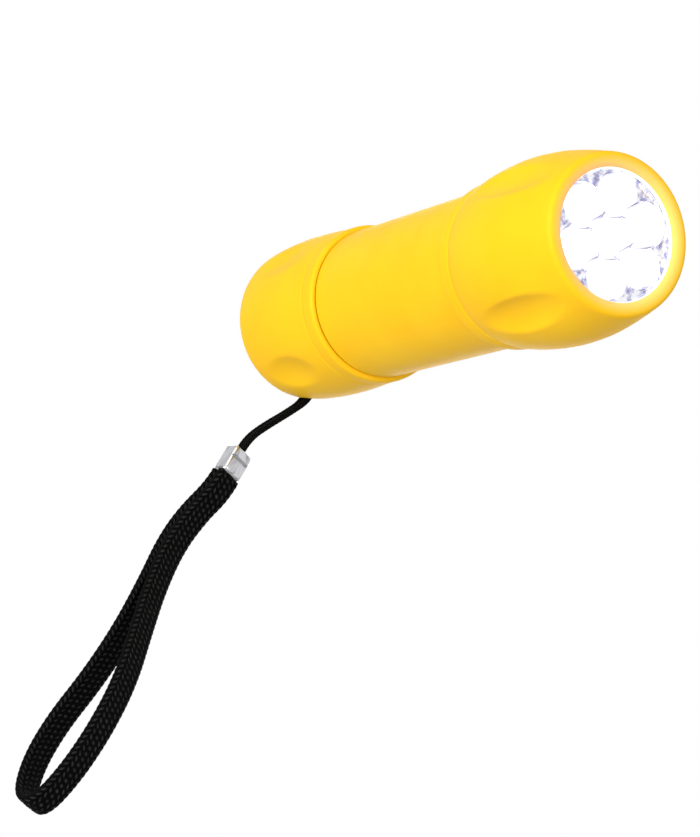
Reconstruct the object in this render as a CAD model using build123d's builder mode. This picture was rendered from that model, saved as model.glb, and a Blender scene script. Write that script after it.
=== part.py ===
"""A slim pocket torch with a soft yellow skin, a seven-cell lamp and a wrist strap.

Millimetres. The torch lies along X and shines towards +X, +Z is up, and the origin is the
middle of the plain grip, on the axis. The strap hangs from the tail.
"""

from build123d import *
import os
from math import cos, dist, pi, radians, sin, sqrt, tan

os.makedirs("parts", exist_ok=True)

# ---------------------------------------------------------------- driving dimensions
GRIP_R = 13.85  # plain grip, outside
GRIP_HALF = 21.5  # the grip's skin ends here, at each shoulder
PARTING = 0.15  # gap between the grip's skin and the skin of each end
TUBE_R = 12.65  # hard tube under the grip's skin
BORE_R = 11.6  # battery bore
SPIGOT_R = 12.5  # screwed ends of the tube
SCREW_BORE_R = 12.57
SPIGOT_FRONT_X = 31.0
SPIGOT_REAR_X = -33.2

END_CORE_R = 13.6  # hard cores of head and tail where they begin
CORE_START = 22.5
SEAL_T = 0.8
SEAL_R = 13.5
RING_R = 14.75  # raised ring beside each parting line
RING_END = 24.6
GROOVE_R = 14.5
SWELL_START = 25.3

FRONT_X = 54.0  # front of the soft rim
RIM_R = 12.9  # where the rim is furthest forward
SHOULDER_X = 53.2  # the rim's rounding begins
SHOULDER_R = 13.86
HEAD_R = 16.25  # widest part of the head
HEAD_WIDE_X = 37.5
HEAD_TAPER = [(45.3, 15.57), (50.0, 14.63)]  # the swell narrows through these towards the rim
LAMP_BORE_R = 11.9  # lens, seal, reflector, board and contact sleeve share this bore
LAMP_BORE_X = 32.0
CORE_FRONT_X = 52.0
CORE_FRONT_R = 12.6
LENS_FRONT_X = 53.0
LENS_REAR_X = 51.9
LENS_VIEW_R = 11.2  # clear opening of the rim

TAIL_R = 15.3  # widest part of the tail
TAIL_WIDE_X = -37.0
TAIL_EDGE_X = -49.0  # the edge's rounding begins
TAIL_EDGE_R = 14.45
TAIL_X = -50.5  # flat tail face
TAIL_FACE_R = 13.0
TAIL_FACE_T = 1.2
TAIL_OPENING_R = 8.4

# Each dimple is part of a barrel shape: its floor's line runs through three (x, radius)
# points, of which the first and last lie outside the skin, and turns about a line at axis_r.
HEAD_DIMPLE = {"rear": (28.5, 15.93), "middle": (40.2, 14.77), "front": (52.0, 14.51), "axis_r": 22.0}
TAIL_DIMPLE = {"rear": (-46.5, 15.35), "middle": (-37.5, 14.2), "front": (-28.5, 15.35), "axis_r": 26.0}

REFLECTOR_FRONT_X = 51.5
REFLECTOR_FLANGE_T = 1.2
REFLECTOR_BODY_R = 11.4
CUP_PITCH = 7.2  # centre cup to the six round it
CUP_MOUTH_R = 3.95
CUP_MIDDLE = (47.35, 3.4)  # a point half way down the cup's curve
CUP_FOOT_X = 43.2
CUP_FOOT_R = 2.7
LED_SEAT_R = 3.0
LED_R = 2.5
LED_FLANGE_R = 2.9
LED_FLANGE_T = 1.0
LED_DOME_X = 47.2
LEG_R = 0.3
LEG_OFFSET = 1.27
LEG_END_X = 39.8
BOARD_FRONT_X = 42.1
BOARD_REAR_X = 40.5
SCREW_RING_R = 9.6
SCREW_R = 0.8
SCREW_HEAD_R = 1.5
SCREW_HEAD_T = 0.9
SCREW_TIP_X = 46.0
SLEEVE_REAR_X = 32.0
SLEEVE_INNER_R = 11.4

CARTRIDGE_R = 11.2
CARTRIDGE_FRONT_X = 30.0
CARTRIDGE_REAR_X = -23.5
CARTRIDGE_PLATE = 2.5
RIB_INNER_R = 6.9
RIB_W = 2.4
CONTACT_T = 0.3
CONTACT_R = 4.0
CELL_R = 5.1  # AAA cell
CELL_LENGTH = 44.5
NUB_R = 1.9
NUB_L = 0.8
CELL_RING_R = 6.0
CELL_ANGLES = (90, 210, 330)
STRIP_W = 3.0
STRIP_T = 0.4
STRIP_R = 11.8
STRIP_TAB_R = 12.4

BUTTON_R = 7.2
BUTTON_HOLE_R = 7.3
BUTTON_FLANGE_R = 8.6
BUTTON_FLANGE_T = 1.2
BUTTON_CROWN = 0.5
BUTTON_END_X = -50.2  # just below the tail face
BUTTON_SEAT_R = 9.3
WALL_INNER_X = -47.3  # inside of the tail's end wall
FLANGE_GAP = 0.05
HOUSING_REAR_X = -44.0
HOUSING_FRONT_X = -36.5
HOUSING_R = 11.0
HOUSING_HOLE_R = 2.1
CHAMBER_REAR_X = -42.6
CHAMBER_FRONT_X = -38.0
CHAMBER_R = 5.0
PLUNGER_R = 2.0
PLUNGER_FLANGE_R = 4.2
PLUNGER_FLANGE_T = 1.1
PLUNGER_BOSS_R = 1.5
PLUNGER_BOSS_L = 1.0
RETAINER_FRONT_X = -33.7
RETAINER_INNER_R = 7.5
RETAINER_SLOT = 2.0

LANYARD_ANGLE = 45  # the lanyard notch lies between two dimples
PIN_X = -48.3
PIN_RING_R = 12.5
PIN_R = 0.75
PIN_LENGTH = 8.6
NOTCH_FLOOR_R = 10.3
NOTCH_WIDTH = 6.0
NOTCH_FRONT_X = -45.9

STRING_D = 1.2
WEBBING_W = 5.4
WEBBING_T = 1.5
FERRULE_L = 6.0
FERRULE_W = 4.8
FERRULE_T = 3.6
FERRULE_ROUND = 1.1
STRAP_TOP = Vector(-49.5, 6.1, -34.4)  # lower end of the ferrule
STRAP_END = Vector(-46.6, 14.3, -106.2)  # lowest point of the webbing's fold
STRAP_TURN = 102.2  # degrees from +X to the webbing's width, seen from above

# The strap lies in a plane of its own: x across the loop, y down it, z along its width.
strap_down = (STRAP_END - STRAP_TOP).normalized()
level_across = Vector(sin(radians(STRAP_TURN)), -cos(radians(STRAP_TURN)), 0)
strap_across = (level_across - strap_down * level_across.dot(strap_down)).normalized()
strap_plane = Plane(STRAP_TOP, x_dir=strap_across, z_dir=strap_across.cross(strap_down))

# Two strands of string from the ferrule to the pin and back.
STRAND_OFFSET = 0.64
string_route = [
    strap_plane.from_local_coords(Vector(-STRAND_OFFSET, -FERRULE_L, 0)),
    strap_plane.from_local_coords(Vector(-STRAND_OFFSET, -FERRULE_L - 3.0, 0)),
    Vector(-50.2, 6.1, -21.0),
    Vector(-50.0, 7.8, -16.4),
    Vector(-49.8, 9.2, -11.7),
    Vector(-49.75, 7.75, -7.75),
    Vector(-46.85, 7.75, -7.75),
    Vector(-46.9, 9.2, -11.7),
    Vector(-47.6, 7.9, -16.4),
    Vector(-48.5, 6.4, -21.0),
    strap_plane.from_local_coords(Vector(STRAND_OFFSET, -FERRULE_L - 3.0, 0)),
    strap_plane.from_local_coords(Vector(STRAND_OFFSET, -FERRULE_L, 0)),
]

# The webbing's middle line in the strap's plane, down one side and up the other.
webbing_route = [
    (-0.85, 0.0),
    (-0.85, 3.0),
    (-4.2, 9.2),
    (-5.3, 16.0),
    (-3.9, 25.5),
    (-3.2, 36.0),
    (-4.3, 46.5),
    (-7.0, 56.5),
    (-6.9, 65.5),
    (-3.4, 73.0),
    (2.0, 73.6),
    (5.3, 66.0),
    (6.4, 56.0),
    (5.3, 45.5),
    (1.3, 34.5),
    (-1.9, 25.0),
    (-3.4, 15.8),
    (-1.9, 8.6),
    (0.85, 3.6),
    (0.85, 0.0),
]


# ---------------------------------------------------------------- helpers
def corner_radii(points):
    """Arc radius at each corner of a route, as large as its two runs allow."""
    radii = []
    for before, at, after in zip(points, points[1:], points[2:]):
        run_in = Vector(*at) - Vector(*before)
        run_out = Vector(*after) - Vector(*at)
        half_turn = radians(run_in.get_angle(run_out)) / 2
        radii.append(0.45 * min(run_in.length, run_out.length) / tan(half_turn))
    return radii


def coil_points(x_start, x_end, r_start, r_end, turns):
    """Quarter-turn points of a coil about the X axis."""
    points = []
    for step in range(4 * turns + 1):
        part = step / (4 * turns)
        angle = radians(90 * step)
        radius = r_start + (r_end - r_start) * part
        x = x_start + (x_end - x_start) * part
        points.append((x, radius * cos(angle), radius * sin(angle)))
    return points


def coil_solid(points, wire_d):
    """One unbroken wire along the quarter-turn points of a coil, in arcs of half a turn."""
    with BuildPart() as coil:
        with BuildLine() as wire:
            for start, middle, end in zip(points[::2], points[1::2], points[2::2]):
                ThreePointArc(start, middle, end)
        with BuildSketch(Plane(wire.line @ 0, z_dir=wire.line % 0)):
            Circle(wire_d / 2)
        sweep(path=wire.line)
    return coil.part


def coil_gap(points, wire_d):
    """Least gap between one turn of a coil and the next, on its points."""
    return min(dist(low, high) for low, high in zip(points, points[4:])) - wire_d


def turned(*corners):
    """A ring turned about the X axis from the (x, radius) corners of its section."""
    with BuildPart() as ring:
        with BuildSketch(Plane.XZ):
            with BuildLine():
                Polyline(*corners, close=True)
            make_face()
        revolve(axis=Axis.X)
    return ring.part


def tube(x_low, x_high, outer_r, inner_r):
    """A plain tube about the X axis."""
    return turned((x_low, inner_r), (x_high, inner_r), (x_high, outer_r), (x_low, outer_r))


def disc(x_low, x_high, radius):
    """A plain disc about the X axis."""
    return turned((x_low, 0), (x_high, 0), (x_high, radius), (x_low, radius))


def dimple_cutters(rear, middle, front, axis_r):
    """Four barrel shapes, a quarter turn apart, that leave long oval dimples."""
    with BuildPart() as cutter:
        with BuildSketch(Plane.XZ):
            with BuildLine():
                ThreePointArc(rear, middle, front)
                Polyline(front, (front[0], axis_r), (rear[0], axis_r), rear)
            make_face()
        revolve(axis=Axis((0, 0, axis_r), (1, 0, 0)))
    return [cutter.part.rotate(Axis.X, 90 * quarter) for quarter in range(4)]


def ring_edge(side):
    """Lines of the raised ring beside a parting line, from the skin's end to the swell."""
    start = side * (GRIP_HALF + PARTING)
    ThreePointArc((start, 14.0), (start + side * 0.25, 14.55), (start + side * 0.85, RING_R))
    Line((start + side * 0.85, RING_R), (side * RING_END, RING_R))
    groove = (side * (RING_END + 0.35), GROOVE_R)
    ThreePointArc((side * RING_END, RING_R), (side * (RING_END + 0.27), 14.65), groove)


def keep(part, name):
    """Label a finished piece and write it under its own name."""
    part.label = name
    export_step(part, f"parts/{name}.step")


# ---------------------------------------------------------------- grip
with BuildPart() as grip_skin:
    add(tube(-GRIP_HALF, GRIP_HALF, GRIP_R, TUBE_R))
keep(grip_skin.part, "grip_skin")

with BuildPart() as grip_tube:
    add(tube(-GRIP_HALF, GRIP_HALF, TUBE_R, BORE_R))
    add(tube(SPIGOT_REAR_X, -GRIP_HALF, SPIGOT_R, BORE_R))
    add(tube(GRIP_HALF, SPIGOT_FRONT_X, SPIGOT_R, BORE_R))
    # A shallow slot along the top of the bore holds the contact strip.
    with Locations(((SPIGOT_FRONT_X + SPIGOT_REAR_X) / 2, 0, BORE_R)):
        Box(
            SPIGOT_FRONT_X - SPIGOT_REAR_X,
            STRIP_W,
            2 * (STRIP_R - BORE_R),
            mode=Mode.SUBTRACT,
        )
keep(grip_tube.part, "grip_tube")

with BuildPart() as contact_strip:
    with BuildSketch(Plane.XZ):
        with BuildLine():
            Polyline(
                (SPIGOT_REAR_X - STRIP_T, STRIP_R - STRIP_T),
                (SPIGOT_FRONT_X + STRIP_T, STRIP_R - STRIP_T),
                (SPIGOT_FRONT_X + STRIP_T, STRIP_TAB_R),
                (SPIGOT_FRONT_X, STRIP_TAB_R),
                (SPIGOT_FRONT_X, STRIP_R),
                (SPIGOT_REAR_X, STRIP_R),
                (SPIGOT_REAR_X, STRIP_TAB_R),
                (SPIGOT_REAR_X - STRIP_T, STRIP_TAB_R),
                close=True,
            )
        make_face()
    extrude(amount=STRIP_W / 2, both=True)
keep(contact_strip.part, "contact_strip")

# ---------------------------------------------------------------- battery cartridge
PLATE_REAR_X = CARTRIDGE_REAR_X + CARTRIDGE_PLATE
PLATE_FRONT_X = CARTRIDGE_FRONT_X - CARTRIDGE_PLATE
RIB_DEPTH = CARTRIDGE_R - RIB_INNER_R

with BuildPart() as cartridge_frame:
    add(disc(CARTRIDGE_REAR_X, PLATE_REAR_X, CARTRIDGE_R))
    add(disc(PLATE_FRONT_X, CARTRIDGE_FRONT_X, CARTRIDGE_R))
    # Three ribs join the end plates, in the valleys between the cells.
    with BuildSketch(Plane.YZ.offset(PLATE_REAR_X)):
        with PolarLocations(RIB_INNER_R + RIB_DEPTH / 2 - 0.1, 3, start_angle=CELL_ANGLES[0] + 60):
            Rectangle(RIB_DEPTH - 0.2, RIB_W)
    extrude(amount=PLATE_FRONT_X - PLATE_REAR_X)
keep(cartridge_frame.part, "cartridge_frame")

cell_places = [
    (CELL_RING_R * cos(radians(angle)), CELL_RING_R * sin(radians(angle))) for angle in CELL_ANGLES
]
for index, place in enumerate(cell_places):
    # The middle cell of the three faces the other way.
    forward = index != 1
    nub_tip = PLATE_FRONT_X - CONTACT_T if forward else PLATE_REAR_X + CONTACT_T
    facing = 1 if forward else -1
    with BuildPart() as cell:
        with BuildSketch(Plane.YZ.offset(nub_tip - facing * CELL_LENGTH)):
            with Locations(place):
                Circle(CELL_R)
        extrude(amount=facing * (CELL_LENGTH - NUB_L))
        chamfer(cell.edges().filter_by(GeomType.CIRCLE), 0.3)
        with BuildSketch(Plane.YZ.offset(nub_tip - facing * NUB_L)):
            with Locations(place):
                Circle(NUB_R)
        extrude(amount=facing * NUB_L)
    keep(cell.part, f"cell_{index + 1}")

with BuildPart() as cell_contacts:
    for contact_x in (PLATE_REAR_X, PLATE_FRONT_X - CONTACT_T):
        with BuildSketch(Plane.YZ.offset(contact_x)):
            with Locations(*cell_places):
                Circle(CONTACT_R)
        extrude(amount=CONTACT_T)
keep(cell_contacts.part, "cell_contacts")

CELL_SPRING_D = 0.5
SPRING_SPACE = PLATE_FRONT_X - PLATE_REAR_X - CELL_LENGTH - 2 * CONTACT_T
cell_coil = coil_points(CELL_SPRING_D / 2, SPRING_SPACE - CELL_SPRING_D / 2, 3.0, 1.8, 3)
rear_spring = coil_solid(cell_coil, CELL_SPRING_D)
with BuildPart() as cell_springs:
    for index, (y, z) in enumerate(cell_places):
        if index == 1:
            add(Pos(PLATE_FRONT_X - CONTACT_T, y, z) * Rot(0, 180, 0) * rear_spring)
        else:
            add(Pos(PLATE_REAR_X + CONTACT_T, y, z) * rear_spring)
keep(cell_springs.part, "cell_springs")

with BuildPart() as front_terminal:
    add(disc(CARTRIDGE_FRONT_X, CARTRIDGE_FRONT_X + CONTACT_T, CONTACT_R))
keep(front_terminal.part, "front_terminal")

with BuildPart() as rear_terminal:
    add(disc(CARTRIDGE_REAR_X - CONTACT_T, CARTRIDGE_REAR_X, CONTACT_R))
keep(rear_terminal.part, "rear_terminal")

# ---------------------------------------------------------------- head
CORE_OUTLINE = [(CORE_START, END_CORE_R), (25.5, END_CORE_R), (31.0, 14.0), (40.0, 14.0)]

with BuildPart() as head_skin:
    with BuildSketch(Plane.XZ):
        with BuildLine():
            ring_edge(1)
            Line((RING_END + 0.35, GROOVE_R), (SWELL_START, 14.95))
            Spline(
                (SWELL_START, 14.95),
                (HEAD_WIDE_X, HEAD_R),
                *HEAD_TAPER,
                (SHOULDER_X, SHOULDER_R),
                tangents=[(1, 0.18), (1, -0.24)],
            )
            Spline(
                (SHOULDER_X, SHOULDER_R),
                (53.78, 13.52),
                (FRONT_X, RIM_R),
                tangents=[(1, -0.24), (0, -1)],
            )
            ThreePointArc((FRONT_X, RIM_R), (53.82, 12.0), (53.3, LENS_VIEW_R))
            Polyline(
                (53.3, LENS_VIEW_R),
                (LENS_FRONT_X, LENS_VIEW_R),
                (LENS_FRONT_X, LAMP_BORE_R),
                (CORE_FRONT_X, LAMP_BORE_R),
                (CORE_FRONT_X, CORE_FRONT_R),
                *reversed(CORE_OUTLINE),
                (GRIP_HALF + PARTING, END_CORE_R),
                (GRIP_HALF + PARTING, 14.0),
            )
        make_face()
    revolve(axis=Axis.X)
    for cutter in dimple_cutters(**HEAD_DIMPLE):
        add(cutter, mode=Mode.SUBTRACT)
keep(head_skin.part, "head_skin")

with BuildPart() as head_core:
    add(
        turned(
            *CORE_OUTLINE,
            (CORE_FRONT_X, CORE_FRONT_R),
            (CORE_FRONT_X, LAMP_BORE_R),
            (LAMP_BORE_X, LAMP_BORE_R),
            (LAMP_BORE_X, SCREW_BORE_R),
            (CORE_START, SCREW_BORE_R),
        )
    )
keep(head_core.part, "head_core")

with BuildPart() as lens:
    add(disc(LENS_REAR_X, LENS_FRONT_X, LAMP_BORE_R))
keep(lens.part, "lens")

LENS_SEAL_T = LENS_REAR_X - REFLECTOR_FRONT_X
with BuildPart() as lens_seal:
    with BuildSketch(Plane.XZ):
        with Locations((REFLECTOR_FRONT_X + LENS_SEAL_T / 2, LAMP_BORE_R - LENS_SEAL_T / 2)):
            Circle(LENS_SEAL_T / 2)
    revolve(axis=Axis.X)
keep(lens_seal.part, "lens_seal")

cup_places = [(0, 0)]
for sixth in range(6):
    cup_places.append((CUP_PITCH * cos(sixth * pi / 3), CUP_PITCH * sin(sixth * pi / 3)))
screw_places = [
    (SCREW_RING_R * cos(radians(angle)), SCREW_RING_R * sin(radians(angle)))
    for angle in (30, 150, 270)
]

with BuildPart() as cup_space:
    with BuildSketch(Plane.XZ):
        with BuildLine():
            Polyline(
                (REFLECTOR_FRONT_X, CUP_MOUTH_R),
                (REFLECTOR_FRONT_X + 1, CUP_MOUTH_R),
                (REFLECTOR_FRONT_X + 1, 0),
                (BOARD_FRONT_X - 1, 0),
                (BOARD_FRONT_X - 1, LED_SEAT_R),
                (CUP_FOOT_X, LED_SEAT_R),
                (CUP_FOOT_X, CUP_FOOT_R),
            )
            ThreePointArc((CUP_FOOT_X, CUP_FOOT_R), CUP_MIDDLE, (REFLECTOR_FRONT_X, CUP_MOUTH_R))
        make_face()
    revolve(axis=Axis.X)

with BuildPart() as reflector:
    add(disc(BOARD_FRONT_X, REFLECTOR_FRONT_X - REFLECTOR_FLANGE_T, REFLECTOR_BODY_R))
    add(disc(REFLECTOR_FRONT_X - REFLECTOR_FLANGE_T, REFLECTOR_FRONT_X, LAMP_BORE_R))
    for y, z in cup_places:
        add(Pos(0, y, z) * cup_space.part, mode=Mode.SUBTRACT)
    with BuildSketch(Plane.YZ.offset(BOARD_FRONT_X)):
        with Locations(*screw_places):
            Circle(SCREW_R)
    extrude(amount=SCREW_TIP_X - BOARD_FRONT_X, mode=Mode.SUBTRACT)
keep(reflector.part, "reflector")

with BuildPart() as one_lamp:
    with BuildSketch(Plane.XZ):
        with BuildLine():
            Polyline(
                (LED_DOME_X + LED_R, 0),
                (BOARD_FRONT_X, 0),
                (BOARD_FRONT_X, LED_FLANGE_R),
                (BOARD_FRONT_X + LED_FLANGE_T, LED_FLANGE_R),
                (BOARD_FRONT_X + LED_FLANGE_T, LED_R),
                (LED_DOME_X, LED_R),
            )
            CenterArc((LED_DOME_X, 0), LED_R, 0, 90)
        make_face()
    revolve(axis=Axis.X)
    with BuildSketch(Plane.YZ.offset(LEG_END_X)):
        with Locations((0, LEG_OFFSET), (0, -LEG_OFFSET)):
            Circle(LEG_R)
    extrude(amount=BOARD_FRONT_X - LEG_END_X)

with BuildPart() as lamps:
    for y, z in cup_places:
        add(Pos(0, y, z) * one_lamp.part)
keep(lamps.part, "lamps")

with BuildPart() as lamp_board:
    add(disc(BOARD_REAR_X, BOARD_FRONT_X, LAMP_BORE_R))
    with BuildSketch(Plane.YZ.offset(BOARD_REAR_X)):
        with Locations(*cup_places):
            with Locations((0, LEG_OFFSET), (0, -LEG_OFFSET)):
                Circle(LEG_R)
        with Locations(*screw_places):
            Circle(SCREW_R)
    extrude(amount=BOARD_FRONT_X - BOARD_REAR_X, mode=Mode.SUBTRACT)
keep(lamp_board.part, "lamp_board")

with BuildPart() as board_resistor:
    with Locations((BOARD_REAR_X - 0.3, 0, 8.6)):
        Box(0.6, 3.2, 1.6)
keep(board_resistor.part, "board_resistor")

with BuildPart() as board_screws:
    with BuildSketch(Plane.YZ.offset(BOARD_REAR_X - SCREW_HEAD_T)):
        with Locations(*screw_places):
            Circle(SCREW_HEAD_R)
    extrude(amount=SCREW_HEAD_T)
    with BuildSketch(Plane.YZ.offset(BOARD_REAR_X)):
        with Locations(*screw_places):
            Circle(SCREW_R)
    extrude(amount=SCREW_TIP_X - BOARD_REAR_X)
    # A cross recess in each head.
    with BuildSketch(Plane.YZ.offset(BOARD_REAR_X - SCREW_HEAD_T)):
        with Locations(*screw_places):
            Rectangle(1.8, 0.4)
            Rectangle(0.4, 1.8)
    extrude(amount=SCREW_HEAD_T / 2, mode=Mode.SUBTRACT)
keep(board_screws.part, "board_screws")

with BuildPart() as contact_sleeve:
    add(tube(SLEEVE_REAR_X, BOARD_REAR_X, LAMP_BORE_R, SLEEVE_INNER_R))
keep(contact_sleeve.part, "contact_sleeve")

BIG_SPRING_D = 0.8
front_coil = coil_points(
    CARTRIDGE_FRONT_X + CONTACT_T + BIG_SPRING_D / 2, BOARD_REAR_X - BIG_SPRING_D / 2, 2.8, 3.6, 4
)
front_spring = coil_solid(front_coil, BIG_SPRING_D)
keep(front_spring, "front_spring")

with BuildPart() as neck_seal:
    neck_start = GRIP_HALF + PARTING / 2
    add(tube(neck_start, neck_start + SEAL_T, SEAL_R, SCREW_BORE_R))
keep(neck_seal.part, "neck_seal")

# ---------------------------------------------------------------- tail
with BuildPart() as lanyard_pin:
    pin_angle = radians(LANYARD_ANGLE)
    pin_middle = (PIN_X, PIN_RING_R * sin(pin_angle), -PIN_RING_R * cos(pin_angle))
    with BuildSketch(Plane(pin_middle, x_dir=(1, 0, 0), z_dir=(0, cos(pin_angle), sin(pin_angle)))):
        Circle(PIN_R)
    extrude(amount=PIN_LENGTH / 2, both=True)
keep(lanyard_pin.part, "lanyard_pin")

# The notch in the tail's rim that the string comes out of.
NOTCH_DEPTH = NOTCH_FRONT_X - TAIL_X + 1
NOTCH_REACH = TAIL_R + 1 - NOTCH_FLOOR_R
with BuildPart() as notch_space:
    with Locations((NOTCH_FRONT_X - NOTCH_DEPTH / 2, 0, -NOTCH_FLOOR_R - NOTCH_REACH / 2)):
        Box(NOTCH_DEPTH, NOTCH_WIDTH, NOTCH_REACH)
notch = notch_space.part.rotate(Axis.X, LANYARD_ANGLE)

SKIN_END_X = TAIL_X + TAIL_FACE_T
with BuildPart() as tail_skin:
    with BuildSketch(Plane.XZ):
        with BuildLine():
            ring_edge(-1)
            Line((-RING_END - 0.35, GROOVE_R), (-SWELL_START, 14.7))
            Spline(
                (-SWELL_START, 14.7),
                (TAIL_WIDE_X, TAIL_R),
                (TAIL_EDGE_X, TAIL_EDGE_R),
                tangents=[(-1, 0.1), (-1, -0.2)],
            )
            Spline(
                (TAIL_EDGE_X, TAIL_EDGE_R),
                (-50.1, 13.9),
                (TAIL_X, TAIL_FACE_R),
                tangents=[(-1, -0.2), (0, -1)],
            )
            Polyline(
                (TAIL_X, TAIL_FACE_R),
                (TAIL_X, TAIL_OPENING_R),
                (SKIN_END_X, TAIL_OPENING_R),
                (SKIN_END_X, END_CORE_R),
                (-GRIP_HALF - PARTING, END_CORE_R),
                (-GRIP_HALF - PARTING, 14.0),
            )
        make_face()
    revolve(axis=Axis.X)
    for cutter in dimple_cutters(**TAIL_DIMPLE):
        add(cutter, mode=Mode.SUBTRACT)
    add(notch, mode=Mode.SUBTRACT)
    add(lanyard_pin.part, mode=Mode.SUBTRACT)
keep(tail_skin.part, "tail_skin")

with BuildPart() as tail_core:
    add(
        turned(
            (-CORE_START, END_CORE_R),
            (SKIN_END_X, END_CORE_R),
            (SKIN_END_X, BUTTON_HOLE_R),
            (WALL_INNER_X, BUTTON_HOLE_R),
            (WALL_INNER_X, BUTTON_SEAT_R),
            (HOUSING_REAR_X, BUTTON_SEAT_R),
            (HOUSING_REAR_X, HOUSING_R),
            (RETAINER_FRONT_X, HOUSING_R),
            (RETAINER_FRONT_X, SCREW_BORE_R),
            (-CORE_START, SCREW_BORE_R),
        )
    )
    add(notch, mode=Mode.SUBTRACT)
    add(lanyard_pin.part, mode=Mode.SUBTRACT)
keep(tail_core.part, "tail_core")

with BuildPart() as tail_seal:
    add(tube(-neck_start - SEAL_T, -neck_start, SEAL_R, SCREW_BORE_R))
keep(tail_seal.part, "tail_seal")

with BuildPart() as switch_housing:
    add(
        turned(
            (HOUSING_REAR_X, HOUSING_HOLE_R),
            (CHAMBER_REAR_X, HOUSING_HOLE_R),
            (CHAMBER_REAR_X, CHAMBER_R),
            (CHAMBER_FRONT_X, CHAMBER_R),
            (CHAMBER_FRONT_X, 0),
            (HOUSING_FRONT_X, 0),
            (HOUSING_FRONT_X, HOUSING_R),
            (HOUSING_REAR_X, HOUSING_R),
        )
    )
keep(switch_housing.part, "switch_housing")

with BuildPart() as retainer_ring:
    add(tube(HOUSING_FRONT_X, RETAINER_FRONT_X, HOUSING_R, RETAINER_INNER_R))
    # Two slots take a pin spanner.
    with Locations((RETAINER_FRONT_X, 0, 0)):
        Box(RETAINER_SLOT, 2 * HOUSING_R, RETAINER_SLOT, mode=Mode.SUBTRACT)
keep(retainer_ring.part, "retainer_ring")

with BuildPart() as switch_terminal:
    add(disc(HOUSING_FRONT_X, HOUSING_FRONT_X + CONTACT_T, RETAINER_INNER_R - 0.5))
keep(switch_terminal.part, "switch_terminal")

tail_coil = coil_points(
    HOUSING_FRONT_X + CONTACT_T + BIG_SPRING_D / 2,
    CARTRIDGE_REAR_X - CONTACT_T - BIG_SPRING_D / 2,
    5.0,
    3.0,
    4,
)
tail_spring = coil_solid(tail_coil, BIG_SPRING_D)
keep(tail_spring, "tail_spring")

# ---------------------------------------------------------------- button
FLANGE_REAR_X = WALL_INNER_X + FLANGE_GAP
FLANGE_FRONT_X = FLANGE_REAR_X + BUTTON_FLANGE_T
CROWN_X = BUTTON_END_X + BUTTON_CROWN
CROWN_BALL_R = (BUTTON_R**2 + BUTTON_CROWN**2) / (2 * BUTTON_CROWN)
crown_middle = (BUTTON_END_X + CROWN_BALL_R - sqrt(CROWN_BALL_R**2 - BUTTON_R**2 / 4), BUTTON_R / 2)

with BuildPart() as button_cap:
    with BuildSketch(Plane.XZ):
        with BuildLine():
            ThreePointArc((CROWN_X, BUTTON_R), crown_middle, (BUTTON_END_X, 0))
            Polyline(
                (BUTTON_END_X, 0),
                (FLANGE_FRONT_X, 0),
                (FLANGE_FRONT_X, BUTTON_FLANGE_R),
                (FLANGE_REAR_X, BUTTON_FLANGE_R),
                (FLANGE_REAR_X, BUTTON_R),
                (CROWN_X, BUTTON_R),
            )
        make_face()
    revolve(axis=Axis.X)
keep(button_cap.part, "button_cap")

PLUNGER_FLANGE_X = CHAMBER_REAR_X + 0.1
PLUNGER_FRONT_X = PLUNGER_FLANGE_X + PLUNGER_FLANGE_T
with BuildPart() as plunger:
    add(disc(FLANGE_FRONT_X, PLUNGER_FLANGE_X, PLUNGER_R))
    add(disc(PLUNGER_FLANGE_X, PLUNGER_FRONT_X, PLUNGER_FLANGE_R))
    add(disc(PLUNGER_FRONT_X, PLUNGER_FRONT_X + PLUNGER_BOSS_L, PLUNGER_BOSS_R))
keep(plunger.part, "plunger")

SWITCH_SPRING_D = 0.45
switch_coil = coil_points(
    PLUNGER_FRONT_X + SWITCH_SPRING_D / 2, CHAMBER_FRONT_X - SWITCH_SPRING_D / 2, 2.8, 2.8, 3
)
switch_spring = coil_solid(switch_coil, SWITCH_SPRING_D)
keep(switch_spring, "switch_spring")

# ---------------------------------------------------------------- strap
with BuildPart() as strap_string:
    with BuildLine() as string_line:
        FilletPolyline(*string_route, radius=corner_radii(string_route))
    with BuildSketch(Plane(string_line.line @ 0, z_dir=string_line.line % 0)):
        Circle(STRING_D / 2)
    sweep(path=string_line.line)
keep(strap_string.part, "strap_string")

with BuildPart() as strap_ferrule:
    with BuildSketch(strap_plane):
        with Locations((0, -FERRULE_L / 2)):
            Rectangle(FERRULE_T, FERRULE_L)
    extrude(amount=FERRULE_W / 2, both=True)
    fillet(strap_ferrule.edges().filter_by(Axis(STRAP_TOP, strap_down)), FERRULE_ROUND)
keep(strap_ferrule.part, "strap_ferrule")

with BuildPart() as strap_webbing:
    with BuildLine(strap_plane) as webbing_line:
        FilletPolyline(*webbing_route, radius=corner_radii(webbing_route))
    start_down = webbing_line.line % 0
    with BuildSketch(Plane(webbing_line.line @ 0, x_dir=strap_plane.z_dir, z_dir=start_down)):
        Rectangle(WEBBING_W, WEBBING_T)
    sweep(path=webbing_line.line)
keep(strap_webbing.part, "strap_webbing")

# ---------------------------------------------------------------- measures
for name, points, wire_d in (
    ("cell_springs", cell_coil, CELL_SPRING_D),
    ("front_spring", front_coil, BIG_SPRING_D),
    ("tail_spring", tail_coil, BIG_SPRING_D),
    ("switch_spring", switch_coil, SWITCH_SPRING_D),
):
    print(name, "least gap between turns", round(coil_gap(points, wire_d), 2), "mm")

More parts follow.
